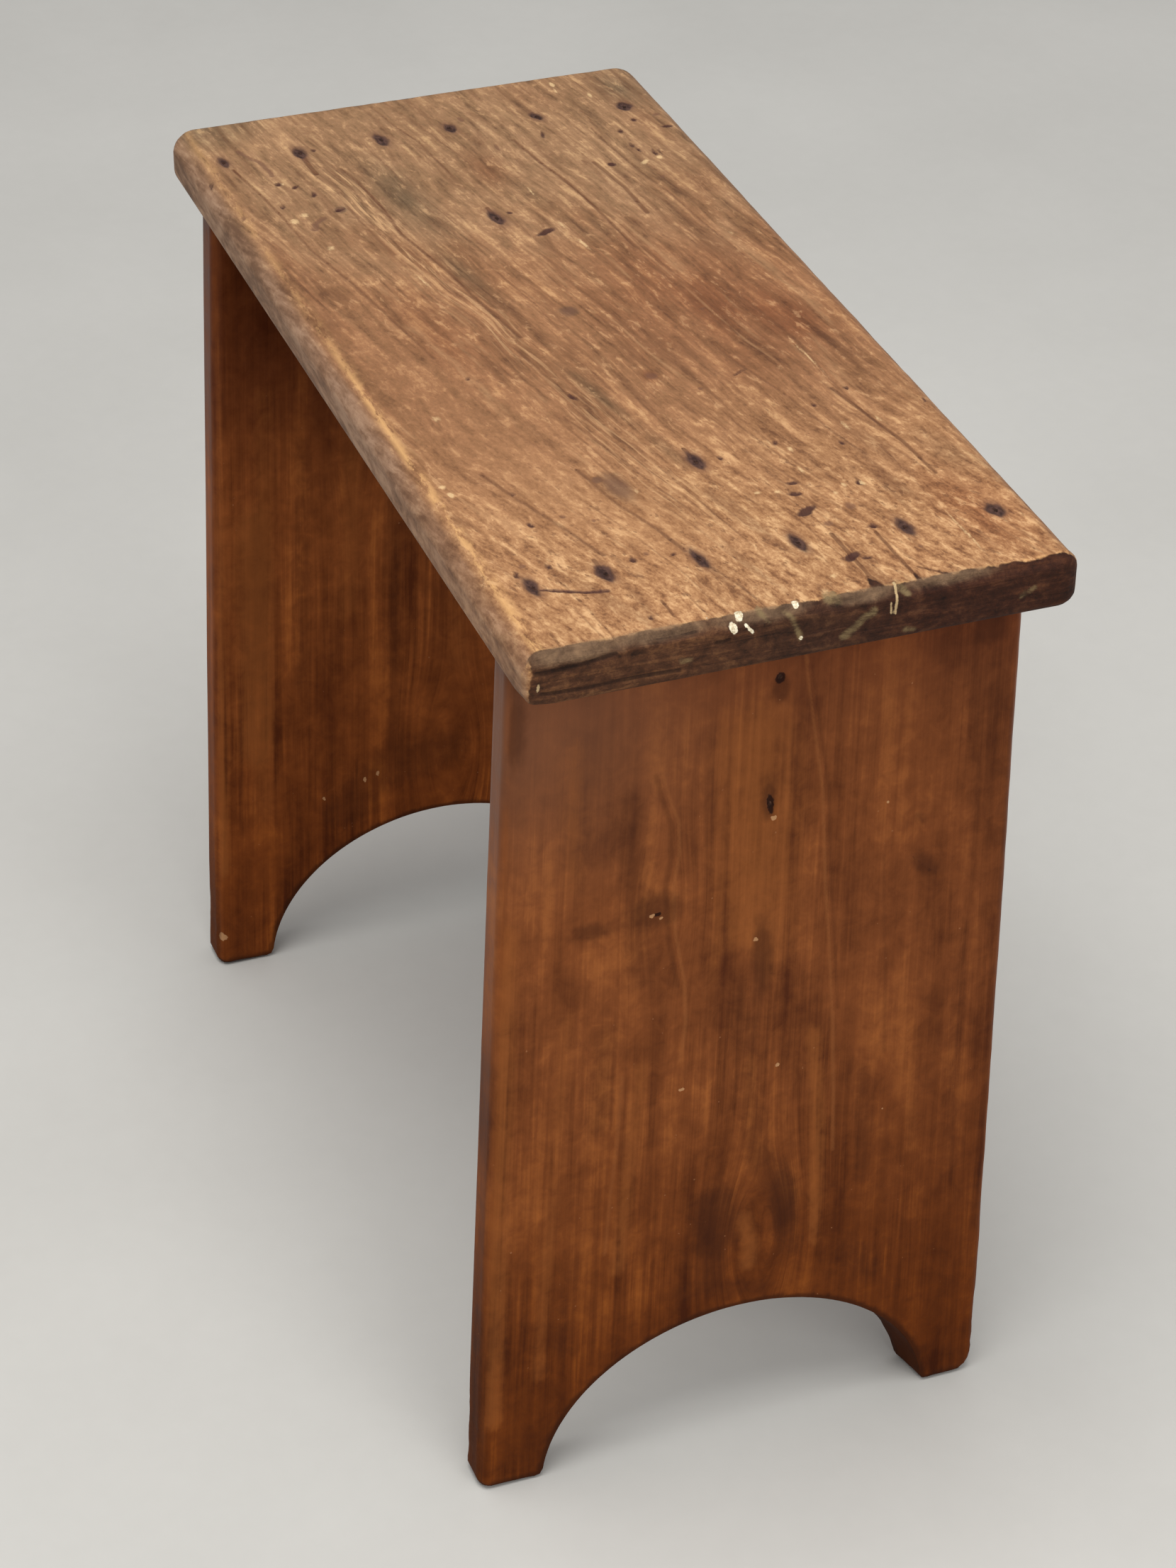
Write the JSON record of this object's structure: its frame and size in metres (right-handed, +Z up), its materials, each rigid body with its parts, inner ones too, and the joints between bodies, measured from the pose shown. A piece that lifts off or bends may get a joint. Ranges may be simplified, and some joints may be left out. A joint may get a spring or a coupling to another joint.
{
  "type": "bench",
  "caption": "Small nailed plank bench: a thick rounded seat board on two upright end boards with arched cut-outs, tied by a rail on edge under the seat.",
  "frame": {"origin": "on the floor, under the middle of the bench's bounding box, midway between its ends", "axes": "+X along the seat towards the end board whose outer face carries the worn heel, +Y across the seat towards its straight back edge, +Z up"},
  "size_m": [0.503, 0.2454, 0.45],
  "materials": {
    "seat_wood": "bare worn pine, dry and open-grained, darkened on the end grain",
    "stained_wood": "red-brown stained pine with a satin wax polish",
    "rail_wood": "rough red-brown stained pine, dull",
    "nail_iron": "dark rusted cut iron"
  },
  "bodies": {
    "root": {"seat_board": "seat_wood", "right_end_board": "stained_wood", "left_end_board": "stained_wood", "centre_rail": "rail_wood", "right_seat_nails": "nail_iron", "left_seat_nails": "nail_iron", "rail_seat_nails": "nail_iron", "right_rail_nails": "nail_iron", "left_rail_nails": "nail_iron"}
  },
  "joints": []
}
